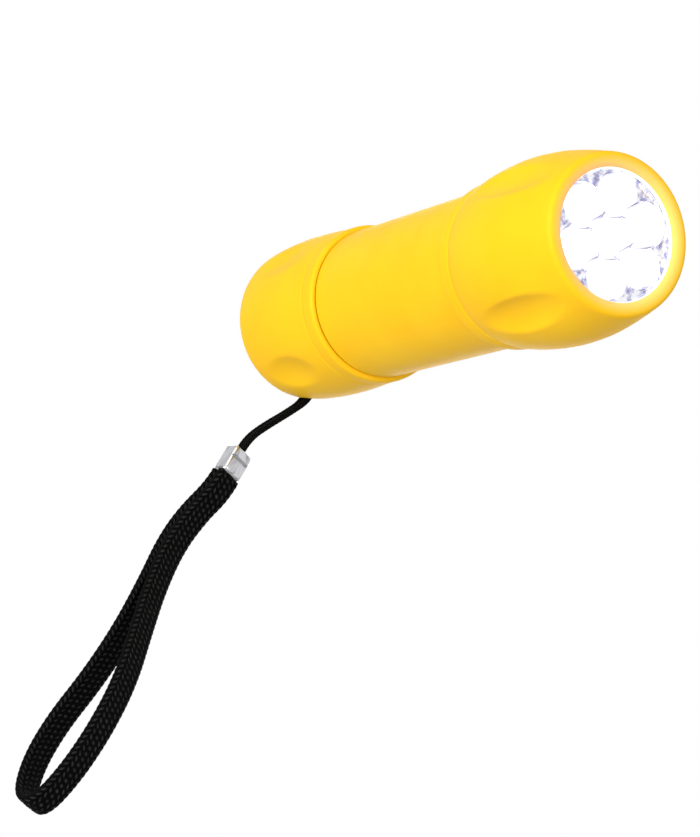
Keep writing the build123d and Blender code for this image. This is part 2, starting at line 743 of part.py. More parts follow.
for name, line, part, section, radii in (
    ("strap_string", string_line, strap_string, pi * STRING_D**2 / 4, corner_radii(string_route)),
    ("strap_webbing", webbing_line, strap_webbing, WEBBING_W * WEBBING_T, corner_radii(webbing_route)),
):
    length = line.wires()[0].length
    print(name, "length", round(length, 1), "mm, corner radii", [round(r, 1) for r in radii])
    print(name, "volume over section times length", round(part.part.volume / section / length, 4))
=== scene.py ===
"""Looks of a slim yellow torch with a wrist strap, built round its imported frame.

Metres, in the frame's own axes: the torch lies along X and shines towards +X, +Z is up, and
the origin is the middle of the plain grip, on the axis. Sizes of the torch's own pieces are
written in millimetres and turned into metres where a mesh is made.
"""

import logging
from dataclasses import dataclass, field
from enum import Enum
from itertools import pairwise
from math import asin, atan2, cos, exp, log, pi, radians, sin, sqrt
from typing import Callable, Iterable, Sequence

import bmesh
import bpy
from mathutils import Matrix, Vector


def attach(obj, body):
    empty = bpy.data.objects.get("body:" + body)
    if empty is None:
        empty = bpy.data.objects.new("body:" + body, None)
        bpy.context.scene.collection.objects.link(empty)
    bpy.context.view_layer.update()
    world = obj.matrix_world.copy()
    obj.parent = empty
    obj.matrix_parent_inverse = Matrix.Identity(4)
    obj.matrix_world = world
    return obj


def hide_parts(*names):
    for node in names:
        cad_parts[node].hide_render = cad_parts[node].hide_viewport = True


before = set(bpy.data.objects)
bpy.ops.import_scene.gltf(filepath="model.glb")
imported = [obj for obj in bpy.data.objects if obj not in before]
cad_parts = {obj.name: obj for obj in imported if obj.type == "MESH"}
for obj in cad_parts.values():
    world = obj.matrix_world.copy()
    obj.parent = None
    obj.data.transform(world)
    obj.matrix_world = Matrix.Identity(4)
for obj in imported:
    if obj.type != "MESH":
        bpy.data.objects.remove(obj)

LOG = logging.getLogger("torch")
MM = 0.001
POLE_R = 0.002

Colour = tuple[float, float, float]
Section = Sequence[tuple[float, float]]


class Body(Enum):
    """The bodies that move on their own."""

    GRIP = "grip"
    NECK_RING = "neck_ring"
    HEAD = "head"
    TAIL_RING = "tail_ring"
    TAIL_CAP = "tail_cap"
    BUTTON = "button"


class Slot(Enum):
    """The record's material slots."""

    YELLOW_RUBBER = "yellow_rubber"
    BLACK_PLASTIC = "black_plastic"
    BRASS = "brass"
    NICKEL_STEEL = "nickel_steel"
    CELL_SLEEVE = "cell_sleeve"
    CLEAR_LENS = "clear_lens"
    BRIGHT_REFLECTOR = "bright_reflector"
    LAMP_EPOXY = "lamp_epoxy"
    BOARD_GREEN = "board_green"
    RESISTOR_BLACK = "resistor_black"
    BLACK_SEAL = "black_seal"
    CLEAR_SEAL = "clear_seal"
    BUTTON_RUBBER = "button_rubber"
    BLACK_CORD = "black_cord"
    BLACK_WEBBING = "black_webbing"
    CRIMP_SILVER = "crimp_silver"


# ---------------------------------------------------------------- modelling by hand
def let_go() -> None:
    """Leave edit mode and deselect every object."""
    if bpy.context.object is not None and bpy.context.object.mode != "OBJECT":
        bpy.ops.object.mode_set(mode="OBJECT")
    bpy.ops.object.select_all(action="DESELECT")


def take(piece: bpy.types.Object) -> None:
    """Select one object alone and make it active.

    Args:
        piece: The object to work on.
    """
    let_go()
    piece.select_set(True)
    bpy.context.view_layer.objects.active = piece


def settle(piece: bpy.types.Object) -> None:
    """Put the object's place, turn and size into its mesh.

    Args:
        piece: The object to settle at the origin.
    """
    take(piece)
    bpy.ops.object.transform_apply(location=True, rotation=True, scale=True)


def apply_modifier(piece: bpy.types.Object, kind: str, **settings: object) -> None:
    """Add a modifier and apply it at once.

    Args:
        piece: The object it works on.
        kind: Blender's name of the modifier's type.
        **settings: The modifier's values.
    """
    take(piece)
    modifier = piece.modifiers.new(kind.title(), kind)
    for name, value in settings.items():
        setattr(modifier, name, value)
    bpy.ops.object.modifier_apply(modifier=modifier.name)


def smooth_out(piece: bpy.types.Object, levels: int) -> None:
    """Round a piece off with a subdivision surface.

    Args:
        piece: The object it works on.
        levels: How many times it is divided.
    """
    apply_modifier(piece, "SUBSURF", levels=levels, render_levels=levels)


def shade(piece: bpy.types.Object, degrees: float = 35.0) -> None:
    """Shade a piece smooth, but for edges sharper than an angle.

    Args:
        piece: The object it works on.
        degrees: The angle from which an edge stays sharp.
    """
    take(piece)
    bpy.ops.object.shade_smooth_by_angle(angle=radians(degrees))


def turned(name: str, section: Section, segments: int, levels: int = 0) -> bpy.types.Object:
    """Turn a ring or a disc about the X axis by extruding one circle from station to station.

    Args:
        name: The new piece's name.
        section: (x, radius) corners in millimetres, in order. A section that begins and ends
            on the axis is a disc, and any other is closed to a ring.
        segments: Sides of the circle.
        levels: Subdivision levels. The radii then allow for the surface's shrinking.

    Returns:
        The turned piece, at the origin.
    """
    swell = 3 / (2 + cos(2 * pi / segments)) if levels else 1.0
    stations = [(x * MM, max(radius, POLE_R) * swell * MM) for x, radius in section]
    if section[0][1] > 0:
        stations.append(stations[0])
    let_go()
    first_x, first_radius = stations[0]
    bpy.ops.mesh.primitive_circle_add(
        vertices=segments, radius=first_radius, location=(first_x, 0, 0), rotation=(0, pi / 2, 0)
    )
    piece = bpy.context.object
    piece.name = name
    bpy.ops.object.transform_apply(location=True, rotation=True, scale=True)
    bpy.ops.object.mode_set(mode="EDIT")
    bpy.ops.mesh.select_all(action="SELECT")
    for (x, radius), (next_x, next_radius) in pairwise(stations):
        bpy.ops.mesh.extrude_edges_move(TRANSFORM_OT_translate={"value": (next_x - x, 0, 0)})
        growth = next_radius / radius
        bpy.ops.transform.resize(value=(1, growth, growth), center_override=(next_x, 0, 0))
    bpy.ops.mesh.select_all(action="SELECT")
    bpy.ops.mesh.remove_doubles(threshold=0.008 * MM)
    bpy.ops.mesh.normals_make_consistent(inside=False)
    bpy.ops.object.mode_set(mode="OBJECT")
    if levels:
        smooth_out(piece, levels)
    return piece


def cut_away(piece: bpy.types.Object, cutter: bpy.types.Object) -> None:
    """Cut one solid out of another and delete the cutter.

    Args:
        piece: The solid that is cut.
        cutter: The solid that goes.
    """
    apply_modifier(piece, "BOOLEAN", operation="DIFFERENCE", solver="EXACT", object=cutter)
    bpy.data.objects.remove(cutter)


def copy_to(
    piece: bpy.types.Object, name: str, offset: Vector, degrees: float = 0.0
) -> bpy.types.Object:
    """Copy a piece with its own mesh to another place.

    Args:
        piece: What is copied.
        name: The copy's name.
        offset: How far the copy's mesh is moved, in metres.
        degrees: How far the copy is first turned about the X axis.

    Returns:
        The copy, settled at the origin.
    """
    take(piece)
    bpy.ops.object.duplicate(linked=False)
    copy = bpy.context.object
    copy.name = name
    copy.location = offset
    copy.rotation_euler = (radians(degrees), 0, 0)
    settle(copy)
    return copy


def join(pieces: Sequence[bpy.types.Object]) -> bpy.types.Object:
    """Join several pieces into the first.

    Args:
        pieces: The pieces, of which the first keeps its name.

    Returns:
        The one piece.
    """
    take(pieces[0])
    for piece in pieces:
        piece.select_set(True)
    bpy.ops.object.join()
    return bpy.context.object


def hand_over(
    piece: bpy.types.Object,
    finish: bpy.types.Material,
    body: Body,
    nodes: Iterable[str],
) -> bpy.types.Object:
    """Give a finished piece its material, its body and the solids that it stands for.

    Args:
        piece: The finished piece. Materials that it already has stay.
        finish: Its material.
        body: What it moves with.
        nodes: The solids that it replaces.

    Returns:
        The same piece.
    """
    if not piece.data.materials:
        piece.data.materials.append(finish)
    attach(piece, body.value)
    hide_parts(*nodes)
    LOG.info("%s: %d faces, on %s", piece.name, len(piece.data.polygons), body.value)
    return piece


# ---------------------------------------------------------------- finishes
class NodeSheet:
    """A material's Principled shader and the nodes that feed it, on Object coordinates."""

    def __init__(self, name: str) -> None:
        """Start a material with nothing but its shader.

        Args:
            name: The material's name.
        """
        self.material = bpy.data.materials.new(name)
        self.material.use_nodes = True
        self.tree = self.material.node_tree
        self.shader = self.tree.nodes["Principled BSDF"]
        self.places = self.tree.nodes.new("ShaderNodeTexCoord")

    def set(self, **values: object) -> None:
        """Set the shader's own sockets, with spaces in their names written as underscores."""
        for name, value in values.items():
            self.shader.inputs[name.replace("_", " ")].default_value = value

    def stretched(self, scale: Sequence[float], source: str = "Object") -> bpy.types.NodeSocket:
        """Coordinates stretched along the axes.

        Args:
            scale: Factors on the three axes.
            source: Object or UV.

        Returns:
            The mapped coordinates.
        """
        mapping = self.tree.nodes.new("ShaderNodeMapping")
        mapping.inputs["Scale"].default_value = scale
        self.tree.links.new(self.places.outputs[source], mapping.inputs["Vector"])
        return mapping.outputs["Vector"]

    def noise(
        self,
        scale: float,
        detail: float = 2.0,
        stretch: Sequence[float] = (1, 1, 1),
        source: str = "Object",
    ) -> bpy.types.NodeSocket:
        """Soft noise.

        Args:
            scale: Spots per metre, or per unit of UV.
            detail: Finer and finer layers.
            stretch: Factors on the three axes.
            source: Object or UV.

        Returns:
            The noise's value.
        """
        texture = self.tree.nodes.new("ShaderNodeTexNoise")
        texture.inputs["Scale"].default_value = scale
        texture.inputs["Detail"].default_value = detail
        self.tree.links.new(self.stretched(stretch, source), texture.inputs["Vector"])
        return texture.outputs["Fac"]

    def ramp(
        self, value: bpy.types.NodeSocket, stops: Sequence[tuple[float, Colour]]
    ) -> bpy.types.NodeSocket:
        """Colours along a value.

        Args:
            value: The value, from 0 to 1.
            stops: (place, colour) pairs.

        Returns:
            The colour.
        """
        ramp = self.tree.nodes.new("ShaderNodeValToRGB")
        elements = ramp.color_ramp.elements
        while len(elements) < len(stops):
            elements.new(0.5)
        for element, (place, colour) in zip(elements, stops):
            element.position = place
            element.color = (*colour, 1)
        self.tree.links.new(value, ramp.inputs["Fac"])
        return ramp.outputs["Color"]

    def span(
        self,
        value: bpy.types.NodeSocket,
        source: tuple[float, float],
        target: tuple[float, float],
        smooth: bool = False,
    ) -> bpy.types.NodeSocket:
        """Map one range of a value to another, clamped.

        Args:
            value: The value.
            source: The range that it is read in.
            target: The range that comes out.
            smooth: Whether the ends are eased.

        Returns:
            The mapped value.
        """
        node = self.tree.nodes.new("ShaderNodeMapRange")
        node.interpolation_type = "SMOOTHSTEP" if smooth else "LINEAR"
        node.inputs["From Min"].default_value = source[0]
        node.inputs["From Max"].default_value = source[1]
        node.inputs["To Min"].default_value = target[0]
        node.inputs["To Max"].default_value = target[1]
        self.tree.links.new(value, node.inputs["Value"])
        return node.outputs["Result"]

    def blend(
        self, share: bpy.types.NodeSocket, first: bpy.types.NodeSocket, second: bpy.types.NodeSocket
    ) -> bpy.types.NodeSocket:
        """Blend two colours.

        Args:
            share: How much of the second shows, from 0 to 1.
            first: The colour at 0.
            second: The colour at 1.

        Returns:
            The blended colour.
        """
        node = self.tree.nodes.new("ShaderNodeMix")
        node.data_type = "RGBA"
        self.tree.links.new(share, node.inputs[0])
        self.tree.links.new(first, node.inputs[6])
        self.tree.links.new(second, node.inputs[7])
        return node.outputs[2]

    def combine(
        self, operation: str, first: bpy.types.NodeSocket, second: bpy.types.NodeSocket | float
    ) -> bpy.types.NodeSocket:
        """Work out one value from two.

        Args:
            operation: Blender's name of the operation.
            first: The first value.
            second: The second value, a socket or a number.

        Returns:
            The result.
        """
        node = self.tree.nodes.new("ShaderNodeMath")
        node.operation = operation
        self.tree.links.new(first, node.inputs[0])
        if isinstance(second, float):
            node.inputs[1].default_value = second
        else:
            self.tree.links.new(second, node.inputs[1])
        return node.outputs["Value"]

    def distance_from_axis(self) -> bpy.types.NodeSocket:
        """How far a point lies from the torch's axis, in metres."""
        flattened = self.stretched((0, 1, 1))
        node = self.tree.nodes.new("ShaderNodeVectorMath")
        node.operation = "LENGTH"
        self.tree.links.new(flattened, node.inputs[0])
        return node.outputs["Value"]

    def along(self, axis: str, source: str = "Object") -> bpy.types.NodeSocket:
        """One coordinate of a point.

        Args:
            axis: X, Y or Z.
            source: Object or UV.

        Returns:
            The coordinate.
        """
        node = self.tree.nodes.new("ShaderNodeSeparateXYZ")
        self.tree.links.new(self.places.outputs[source], node.inputs["Vector"])
        return node.outputs[axis]

    def attribute(self, name: str) -> bpy.types.NodeSocket:
        """A value stored on the mesh's points.

        Args:
            name: The attribute's name.

        Returns:
            The value.
        """
        node = self.tree.nodes.new("ShaderNodeAttribute")
        node.attribute_name = name
        return node.outputs["Fac"]

    def feed(self, socket: str, value: bpy.types.NodeSocket) -> None:
        """Link a value to one of the shader's sockets."""
        self.tree.links.new(value, self.shader.inputs[socket])

    def bump(self, height: bpy.types.NodeSocket, distance: float, strength: float = 1.0) -> None:
        """Raise the surface a little where a value is high, over any bump it already has.

        Args:
            height: The value.
            distance: Height in metres at value 1.
            strength: How much of it shows.
        """
        node = self.tree.nodes.new("ShaderNodeBump")
        node.inputs["Distance"].default_value = distance
        node.inputs["Strength"].default_value = strength
        self.tree.links.new(height, node.inputs["Height"])
        if self.shader.inputs["Normal"].is_linked:
            before = self.shader.inputs["Normal"].links[0].from_socket
            self.tree.links.new(before, node.inputs["Normal"])
        self.feed("Normal", node.outputs["Normal"])


@dataclass(frozen=True)
class SoftSkin:
    """Soft-touch rubber: matte, faintly mottled, finely grained, with an optional painted rim glow."""

    name: str
    deep: Colour = (0.93, 0.505, 0.004)
    pale: Colour = (0.96, 0.555, 0.008)
    painted_rim_glow: bool = False

    def make(self) -> bpy.types.Material:
        """Make the material."""
        sheet = NodeSheet(self.name)
        sheet.set(Subsurface_Weight=0.08, Subsurface_Radius=(1.0, 0.5, 0.1), Subsurface_Scale=0.002)
        sheet.set(Specular_IOR_Level=0.25, IOR=1.4)
        sheet.feed("Base Color", sheet.ramp(sheet.noise(70, 4), [(0.3, self.deep), (0.7, self.pale)]))
        sheet.feed("Roughness", sheet.span(sheet.noise(420, 3), (0.3, 0.7), (0.5, 0.6)))
        sheet.bump(sheet.noise(5200, 2), 0.00002, 0.35)
        sheet.bump(sheet.noise(260, 2), 0.00008, 0.25)
        if self.painted_rim_glow:
            # Painted glow: pale emission on the rubber in a ring just outside the lens, on the front lip.
            painted_glow_near_lens = sheet.span(sheet.distance_from_axis(), (0.0112, 0.0136), (0.24, 0.0), True)
            in_front = sheet.span(sheet.along("X"), (0.0515, 0.0530), (0.0, 1.0), True)
            sheet.set(Emission_Color=(1.0, 0.55, 0.8, 1))
            sheet.feed("Emission Strength", sheet.combine("MULTIPLY", painted_glow_near_lens, in_front))
        return sheet.material


@dataclass(frozen=True)
class Moulded:
    """Moulded plastic or hard rubber with a fine spark-eroded grain."""

    name: str
    colour: Colour
    paler: Colour
    roughness: tuple[float, float] = (0.38, 0.52)
    grain: float = 0.00003

    def make(self) -> bpy.types.Material:
        """Make the material."""
        sheet = NodeSheet(self.name)
        sheet.feed(
            "Base Color", sheet.ramp(sheet.noise(160, 4), [(0.35, self.colour), (0.75, self.paler)])
        )
        sheet.feed("Roughness", sheet.span(sheet.noise(900, 3), (0.3, 0.7), self.roughness))
        sheet.bump(sheet.noise(4200, 2), self.grain, 0.5)
        return sheet.material


@dataclass(frozen=True)
class Metal:
    """Plated or turned metal with fine marks round the torch's axis."""

    name: str
    colour: Colour
    darker: Colour
    roughness: tuple[float, float] = (0.18, 0.34)

    def make(self) -> bpy.types.Material:
        """Make the material."""
        sheet = NodeSheet(self.name)
        sheet.set(Metallic=1.0)
        marks = sheet.noise(900, 3, (6, 0.4, 0.4))
        sheet.feed("Base Color", sheet.ramp(marks, [(0.3, self.darker), (0.6, self.colour)]))
        sheet.feed("Roughness", sheet.span(marks, (0.3, 0.7), self.roughness))
        sheet.bump(marks, 0.000008, 0.4)
        return sheet.material


@dataclass(frozen=True)
class ClearLens:
    """Clear polished plastic with a hair of surface texture."""

    name: str = "clear lens"

    def make(self) -> bpy.types.Material:
        """Make the material."""
        sheet = NodeSheet(self.name)
        sheet.set(Base_Color=(1.0, 1.0, 1.0, 1), Transmission_Weight=1.0, IOR=1.45)
        sheet.feed("Roughness", sheet.span(sheet.noise(300, 4), (0.4, 0.8), (0.0, 0.03)))
        sheet.bump(sheet.noise(90, 2), 0.00001, 0.2)
        return sheet.material


@dataclass(frozen=True)
class PaintedGlowEdge:
    """Frosted plastic at the edge of the lens, with a painted white glow in place of lamp light piped there."""

    name: str = "frosted edge with painted glow"

    def make(self) -> bpy.types.Material:
        """Make the material."""
        sheet = NodeSheet(self.name)
        # Painted glow: a steady white emission on the edge, which lies in shade under the rim.
        sheet.set(Emission_Color=(1.0, 0.99, 0.97, 1), Emission_Strength=0.7)
        sheet.feed("Base Color", sheet.ramp(sheet.noise(600), [(0.3, (0.8, 0.8, 0.8)), (0.7, (0.9, 0.9, 0.9))]))
        sheet.feed("Roughness", sheet.span(sheet.noise(900, 3), (0.3, 0.7), (0.4, 0.6)))
        return sheet.material


@dataclass(frozen=True)
class LitCups:
    """Metallised cups that the lamps flood with white light, with a soft bumped facet pattern and painted
    lavender-grey reflections.
    """

    name: str = "lit reflector cups"
    front_face: tuple[float, float] = (0.05142, 0.05148)

    def make(self) -> bpy.types.Material:
        """Make the material."""
        sheet = NodeSheet(self.name)
        sheet.set(Metallic=1.0)
        facets_and_reflections = sheet.noise(700, 3, (0.35, 1, 1))
        # Painted reflection: lavender-grey patches on the cups' bright sides, from the noise that also bumps the
        # surface.
        painted_wall_reflections = sheet.ramp(facets_and_reflections, [(0.38, (0.60, 0.60, 0.80)), (0.52, (0.95, 0.95, 0.98))])
        # Painted reflection: darker lavender-grey patches on the flat front between the cups.
        painted_land_reflections = sheet.ramp(sheet.noise(800, 3), [(0.36, (0.30, 0.30, 0.55)), (0.56, (0.92, 0.92, 0.97))])
        on_front = sheet.span(sheet.along("X"), self.front_face, (0.0, 1.0))
        sheet.feed("Base Color", sheet.blend(on_front, painted_wall_reflections, painted_land_reflections))
        sheet.feed("Roughness", sheet.span(sheet.noise(500, 2), (0.3, 0.7), (0.05, 0.16)))
        sheet.bump(facets_and_reflections, 0.0001, 0.4)
        return sheet.material


@dataclass(frozen=True)
class LitLamp:
    """Clear epoxy round a lit chip."""

    name: str = "lit lamps"

    def make(self) -> bpy.types.Material:
        """Make the material."""
        sheet = NodeSheet(self.name)
        sheet.set(Base_Color=(0.95, 0.95, 0.92, 1), Roughness=0.1)
        sheet.set(Emission_Color=(1.0, 0.985, 1.0, 1))
        sheet.feed("Emission Strength", sheet.span(sheet.along("X"), (0.0425, 0.0455), (0.4, 1.6), True))
        return sheet.material


@dataclass(frozen=True)
class BraidedYarn:
    """Black yarn with a dull sheen, loose fibres along it and painted highlights, paler grey, on its stitches' tops.
    """

    name: str
    deep: Colour = (0.0006, 0.0006, 0.0006)
    painted_glint_colour: Colour = (0.034, 0.033, 0.034)
    fibres: tuple[float, float, float] = (900, 2600, 1)

    def make(self) -> bpy.types.Material:
        """Make the material."""
        sheet = NodeSheet(self.name)
        sheet.set(Specular_IOR_Level=0.05, IOR=1.4)
        fibre = sheet.noise(1.0, 3, self.fibres, "UV")
        # Painted highlight: the stitches' tops are coloured paler grey, broken up by the fibres.
        tops = sheet.span(sheet.attribute("height"), (0.62, 1.0), (0.0, 1.0), True)
        painted_glints = sheet.combine("MULTIPLY", tops, sheet.span(fibre, (0.3, 0.7), (0.3, 1.0)))
        sheet.feed("Base Color", sheet.ramp(painted_glints, [(0.1, self.deep), (0.95, self.painted_glint_colour)]))
        sheet.feed("Roughness", sheet.span(fibre, (0.3, 0.7), (0.75, 0.5)))
        sheet.bump(fibre, 0.00006, 0.6)
        return sheet.material


# ---------------------------------------------------------------- studio
@dataclass(frozen=True)
class Studio:
    """Camera, lamps, world and floor."""

    camera_place: Vector = Vector((0.4322, -0.1522, -0.2457))
    camera_forward: Vector = Vector((-0.854, 0.304, 0.423))
    camera_up: Vector = Vector((0.115, -0.682, 0.722))
    focal_mm: float = 125.16
    shift: tuple[float, float] = (-0.00143, 0.00108)
    floor_z: float = -0.85
    world_light: float = 0.47
    lamp_distance: float = 0.9
    lamp_size: float = 0.5
    lamps: tuple[tuple[str, float, float, float, float], ...] = (
        ("key", 1.0, 0.27, -0.7, 7.4),
        ("fill", 1.0, 0.1, 0.7, 1.2),
        ("top", 1.0, 1.4, 0.3, 1.7),
        ("low", 1.0, -0.5, 0.7, 0.6),
        ("rear", -1.0, 0.0, 0.0, 3.2),
    )

    def place_camera(self) -> None:
        """Place the camera where the photograph was taken from."""
        data = bpy.data.cameras.new("camera")
        data.lens = self.focal_mm
        data.sensor_width = 36.0
        data.shift_x, data.shift_y = self.shift
        camera = bpy.data.objects.new("camera", data)
        bpy.context.scene.collection.objects.link(camera)
        back = -self.camera_forward.normalized()
        right = self.camera_up.cross(back).normalized()
        up = back.cross(right)
        camera.matrix_world = Matrix.Translation(self.camera_place) @ Matrix((right, up, back)).transposed().to_4x4()
        bpy.context.scene.camera = camera

    def softbox(self, name: str, place: Vector, size: float, watts: float) -> None:
        """Hang a square soft light that faces the torch.

        Args:
            name: The lamp's name.
            place: Where it hangs.
            size: Length of its side in metres.
            watts: Its power.
        """
        data = bpy.data.lights.new(name, "AREA")
        data.shape = "SQUARE"
        data.size = size
        data.energy = watts
        lamp = bpy.data.objects.new(name, data)
        bpy.context.scene.collection.objects.link(lamp)
        lamp.location = place
        lamp.rotation_mode = "QUATERNION"
        lamp.rotation_quaternion = (-place).to_track_quat("-Z", "Y")

    def light(self) -> None:
        """Hang the lamps: a strong one left of the camera, one behind, and weak ones round them."""
        up = self.camera_up.normalized()
        back = -self.camera_forward.normalized()
        right = up.cross(back).normalized()
        for name, forward, upward, sideways, watts in self.lamps:
            place = (back * forward + up * upward + right * sideways).normalized() * self.lamp_distance
            self.softbox(name, place, self.lamp_size, watts)

    def surround(self) -> None:
        """Make a world that shows white and lights evenly."""
        world = bpy.data.worlds.new("white room")
        bpy.context.scene.world = world
        world.use_nodes = True
        tree = world.node_tree
        background = tree.nodes["Background"]
        background.inputs["Color"].default_value = (1, 1, 1, 1)
        rays = tree.nodes.new("ShaderNodeLightPath")
        seen = tree.nodes.new("ShaderNodeMath")
        seen.operation = "MAXIMUM"
        seen_through = tree.nodes.new("ShaderNodeMath")
        seen_through.operation = "MAXIMUM"
        tree.links.new(rays.outputs["Is Camera Ray"], seen.inputs[0])
        tree.links.new(rays.outputs["Is Glossy Ray"], seen.inputs[1])
        tree.links.new(seen.outputs["Value"], seen_through.inputs[0])
        tree.links.new(rays.outputs["Is Transmission Ray"], seen_through.inputs[1])
        strength = tree.nodes.new("ShaderNodeMapRange")
        strength.inputs["To Min"].default_value = self.world_light
        strength.inputs["To Max"].default_value = 1.0
        tree.links.new(seen_through.outputs["Value"], strength.inputs["Value"])
        tree.links.new(strength.outputs["Result"], background.inputs["Strength"])

    def lay_floor(self) -> None:
        """Lay a wide pale floor, well below the hanging strap."""
        let_go()
        bpy.ops.mesh.primitive_plane_add(size=12, location=(0, 0, self.floor_z))
        floor = bpy.context.object
        floor.name = "floor"
        settle(floor)
        sheet = NodeSheet("pale floor")
        sheet.feed("Base Color", sheet.ramp(sheet.noise(3, 3), [(0.3, (0.9, 0.9, 0.9)), (0.7, (0.93, 0.93, 0.93))]))
        sheet.set(Roughness=0.9)
        floor.data.materials.append(sheet.material)

    def set_up(self) -> None:
        """Set up everything but the camera."""
        self.light()
        self.surround()
        self.lay_floor()
        bpy.context.scene.view_settings.view_transform = "Standard"


# ---------------------------------------------------------------- strap
@dataclass
class Strap:
    """Wrist strap: a doubled string, a crimped clip and a loop of braided webbing."""

    top: Vector = Vector((-49.5, 6.1, -34.4))
    end: Vector = Vector((-46.6, 14.3, -106.2))
    turn: float = 102.2
    string_d: float = 1.2
    webbing_w: float = 5.4
    webbing_t: float = 1.5
    clip_l: float = 6.0
    clip_w: float = 4.8
    clip_t: float = 3.6
    string_length: float = 44.8
    webbing_length: float = 155.5
    braid_pitch: float = 1.16
    braid_columns: int = 5
    across: Vector = field(init=False)
    down: Vector = field(init=False)
    width: Vector = field(init=False)

    def __post_init__(self) -> None:
        """Work out the plane that the loop lies in."""
        self.down = (self.end - self.top).normalized()
        level = Vector((sin(radians(self.turn)), -cos(radians(self.turn)), 0))
        self.across = (level - self.down * level.dot(self.down)).normalized()
        self.width = self.across.cross(self.down)

    def in_plane(self, across: float, down: float, width: float = 0.0) -> Vector:
        """A point of the strap's own plane, in metres.

        Args:
            across: Millimetres across the loop.
            down: Millimetres down from the clip.
            width: Millimetres along the webbing's width.

        Returns:
            The point in the frame.
        """
        return (self.top + self.across * across + self.down * down + self.width * width) * MM

    def string_route(self) -> list[Vector]:
        """Route of the string, from the clip round the pin and back."""
        return [
            self.in_plane(-0.64, -self.clip_l),
            self.in_plane(-0.64, -self.clip_l - 3.0),
            Vector((-50.2, 6.1, -21.0)) * MM,
            Vector((-50.0, 7.8, -16.4)) * MM,
            Vector((-49.8, 9.2, -11.7)) * MM,
            Vector((-49.75, 7.75, -7.75)) * MM,
            Vector((-46.85, 7.75, -7.75)) * MM,
            Vector((-46.9, 9.2, -11.7)) * MM,
            Vector((-47.6, 7.9, -16.4)) * MM,
            Vector((-48.5, 6.4, -21.0)) * MM,
            self.in_plane(0.64, -self.clip_l - 3.0),
            self.in_plane(0.64, -self.clip_l),
        ]

    def webbing_route(self) -> list[Vector]:
        """Route of the webbing's middle line, down one side of the loop and up the other."""
        corners = [
            (-0.85, 0.0), (-0.85, 3.0), (-4.2, 9.2), (-5.3, 16.0), (-3.9, 25.5), (-3.2, 36.0),
            (-4.3, 46.5), (-7.0, 56.5), (-6.9, 65.5), (-3.4, 73.0), (2.0, 73.6), (5.3, 66.0),
            (6.4, 56.0), (5.3, 45.5), (1.3, 34.5), (-1.9, 25.0), (-3.4, 15.8), (-1.9, 8.6),
            (0.85, 3.6), (0.85, 0.0),
        ]
        return [self.in_plane(across, down) for across, down in corners]

    @staticmethod
    def line_along(route: Sequence[Vector], step: float) -> list[Vector]:
        """Even points along the smooth spline of a route.

        Args:
            route: The spline's control points, in metres.
            step: Distance between the points, in metres.

        Returns:
            The points.
        """
        data = bpy.data.curves.new("route", "CURVE")
        data.dimensions = "3D"
        spline = data.splines.new("NURBS")
        spline.points.add(len(route) - 1)
        for point, place in zip(spline.points, route):
            point.co = (*place, 1)
        spline.order_u = 3
        spline.use_endpoint_u = True
        spline.resolution_u = 24
        curve = bpy.data.objects.new("route", data)
        bpy.context.scene.collection.objects.link(curve)
        bpy.context.view_layer.update()
        mesh = bpy.data.meshes.new_from_object(curve.evaluated_get(bpy.context.evaluated_depsgraph_get()))
        raw = [vertex.co.copy() for vertex in mesh.vertices]
        bpy.data.objects.remove(curve)
        lengths = [0.0]
        for before, after in pairwise(raw):
            lengths.append(lengths[-1] + (after - before).length)
        count = round(lengths[-1] / step)
        points = []
        index = 0
        for number in range(count + 1):
            wanted = lengths[-1] * number / count
            while index < len(raw) - 2 and lengths[index + 1] < wanted:
                index += 1
            share = (wanted - lengths[index]) / (lengths[index + 1] - lengths[index])
            points.append(raw[index].lerp(raw[index + 1], share))
        return points

    @staticmethod
    def skin(
        name: str,
        rings: Sequence[Sequence[Vector]],
        heights: Sequence[float],
        step: float,
        girth: float,
    ) -> bpy.types.Object:
        """Cover a row of closed rings with faces, close its ends and lay its UV map.

        Args:
            name: The new piece's name.
            rings: Rings of points, all with the same number.
            heights: How far each point stands out, from 0 to 1, kept as the attribute "height".
            step: Distance from ring to ring, in metres.
            girth: Distance round a ring, in metres.

        Returns:
            The piece. U runs along it and V round it, both in metres.
        """
        mesh = bmesh.new()
        uv = mesh.loops.layers.uv.new("UVMap")
        rows = [[mesh.verts.new(point) for point in ring] for ring in rings]
        sides = len(rings[0])
        for number, (row, next_row) in enumerate(pairwise(rows)):
            for side in range(sides):
                other = (side + 1) % sides
                face = mesh.faces.new((row[side], row[other], next_row[other], next_row[side]))
                u, v = number * step, side * girth / sides
                corners = ((u, v), (u, v + girth / sides), (u + step, v + girth / sides), (u + step, v))
                for loop, corner in zip(face.loops, corners):
                    loop[uv].uv = corner
        mesh.faces.new(list(reversed(rows[0])))
        mesh.faces.new(rows[-1])
        bmesh.ops.recalc_face_normals(mesh, faces=mesh.faces)
        data = bpy.data.meshes.new(name)
        mesh.to_mesh(data)
        mesh.free()
        data.attributes.new("height", "FLOAT", "POINT").data.foreach_set("value", heights)
        piece = bpy.data.objects.new(name, data)
        bpy.context.scene.collection.objects.link(piece)
        return piece

    def stitch(self, along: float, across: float) -> float:
        """Height of the braid's stitches, from 0 to 1.

        Args:
            along: Millimetres along the webbing.
            across: Millimetres across it, from its middle.

        Returns:
            The height.
        """
        column_w = self.webbing_w / self.braid_columns
        column = min(self.braid_columns - 1, max(0, int((across / column_w) + self.braid_columns / 2)))
        middle = (column + 0.5 - self.braid_columns / 2) * column_w
        place = (across - middle) / (column_w / 2)
        slant = 0.42 if column % 2 else -0.42
        phase = (along / self.braid_pitch + slant * place + 0.5 * (column % 2)) % 1.0
        return sqrt(max(0.0, 1 - 0.85 * place * place)) * sin(pi * phase) ** 0.5

